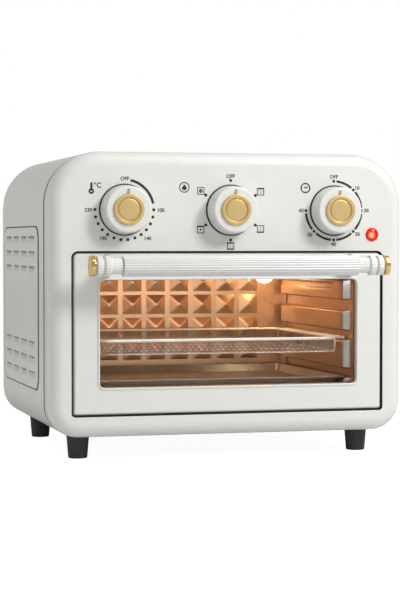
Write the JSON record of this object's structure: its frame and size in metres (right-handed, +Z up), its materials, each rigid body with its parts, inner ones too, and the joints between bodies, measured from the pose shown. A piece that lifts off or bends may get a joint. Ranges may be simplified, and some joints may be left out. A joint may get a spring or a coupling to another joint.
{
  "type": "countertop convection oven",
  "caption": "Rounded countertop convection oven with a drop-down glass door, fluted bar handle, rotary dials, ceiling fan, mesh basket and baking tray.",
  "frame": {"origin": "on the worktop, under the middle of the box round the whole oven", "axes": "+X to the right seen from the front, +Y into the oven, +Z up"},
  "size_m": [0.3822, 0.3586, 0.317],
  "materials": {
    "ivory_paint": "smooth gloss enamel, off-white",
    "gold_trim": "satin champagne gold",
    "chamber_steel": "bright aluminised sheet",
    "zinc_plate": "dull zinc-plated sheet",
    "door_glass": "clear toughened",
    "lamp_glass": "frosted",
    "heater_sheath": "oxidised steel sheath",
    "charcoal_rubber": "matt",
    "black_plastic": "matt",
    "red_lens": "clear glowing jewel",
    "tray_steel": "bright pressed sheet",
    "wire_chrome": "plated wire"
  },
  "bodies": {
    "cabinet": {"front_bezel": "ivory_paint", "outer_wrap": "ivory_paint", "chamber_frame": "chamber_steel", "chamber_wall_left": "chamber_steel", "chamber_wall_right": "chamber_steel", "chamber_back": "chamber_steel", "chamber_ceiling": "chamber_steel", "chamber_floor": "chamber_steel", "fan_grille": "chamber_steel", "back_panel": "zinc_plate", "base_plate": "zinc_plate", "fan_shroud": "zinc_plate", "fan_motor": "zinc_plate", "lamp_holder": "zinc_plate", "control_bracket": "zinc_plate", "timer": "zinc_plate", "hinge_bracket_left": "zinc_plate", "hinge_bracket_right": "zinc_plate", "hinge_spring_left": "zinc_plate", "hinge_spring_right": "zinc_plate", "lamp_lens": "lamp_glass", "upper_heater_front": "heater_sheath", "upper_heater_rear": "heater_sheath", "lower_heater_front": "heater_sheath", "lower_heater_rear": "heater_sheath", "foot_front_left": "charcoal_rubber", "foot_front_right": "charcoal_rubber", "foot_rear_left": "charcoal_rubber", "foot_rear_right": "charcoal_rubber", "cord_gland": "black_plastic", "thermostat": "black_plastic", "function_switch": "black_plastic", "indicator_lens": "red_lens"},
    "door": {"door_frame": "ivory_paint", "door_glass": "door_glass", "door_liner": "chamber_steel", "handle_grip": "ivory_paint", "handle_end_left": "ivory_paint", "handle_end_right": "ivory_paint", "handle_cap_left": "gold_trim", "handle_cap_right": "gold_trim", "hinge_pin_left": "zinc_plate", "hinge_pin_right": "zinc_plate", "door_stay_left": "zinc_plate", "door_stay_right": "zinc_plate"},
    "temperature_dial": {"temperature_knob": "ivory_paint", "temperature_knob_cap": "gold_trim", "temperature_spindle": "zinc_plate"},
    "function_dial": {"function_knob": "ivory_paint", "function_knob_cap": "gold_trim", "function_spindle": "zinc_plate"},
    "timer_dial": {"timer_knob": "ivory_paint", "timer_knob_cap": "gold_trim", "timer_spindle": "zinc_plate"},
    "fan": {"fan_impeller": "chamber_steel"},
    "basket": {"basket_frame": "wire_chrome", "basket_mesh": "wire_chrome"},
    "tray": {"baking_tray": "tray_steel"}
  },
  "joints": [
    {"name": "door_hinge", "type": "hinge", "parent": "cabinet", "child": "door", "pos_m": [0, -0.12025, 0.0542], "axis": [1, 0, 0], "range_deg": [0, 85], "stiffness_Nm_per_rad": 1.2, "springref_deg": -20.05},
    {"name": "temperature_turn", "type": "hinge", "parent": "cabinet", "child": "temperature_dial", "pos_m": [-0.1127, -0.12675, 0.2574], "axis": [0, 1, 0], "range_deg": [0, 270]},
    {"name": "function_turn", "type": "hinge", "parent": "cabinet", "child": "function_dial", "pos_m": [0, -0.12675, 0.2574], "axis": [0, 1, 0], "range_deg": [0, 300]},
    {"name": "timer_turn", "type": "hinge", "parent": "cabinet", "child": "timer_dial", "pos_m": [0.1127, -0.12675, 0.2574], "axis": [0, 1, 0], "range_deg": [0, 270]},
    {"name": "fan_spin", "type": "hinge", "parent": "cabinet", "child": "fan", "pos_m": [0, 0.02325, 0.21], "axis": [0, 0, 1], "continuous": true},
    {"name": "basket_slide", "type": "slide", "parent": "cabinet", "child": "basket", "axis": [0, -1, 0], "range_m": [0, 0.0965]},
    {"name": "tray_slide", "type": "slide", "parent": "cabinet", "child": "tray", "axis": [0, -1, 0], "range_m": [0, 0.033]}
  ],
  "couplings": [
    {"joint": "basket_slide", "follows": "door_hinge", "m_per_rad": 0.065},
    {"joint": "tray_slide", "follows": "door_hinge", "m_per_rad": 0.022}
  ]
}
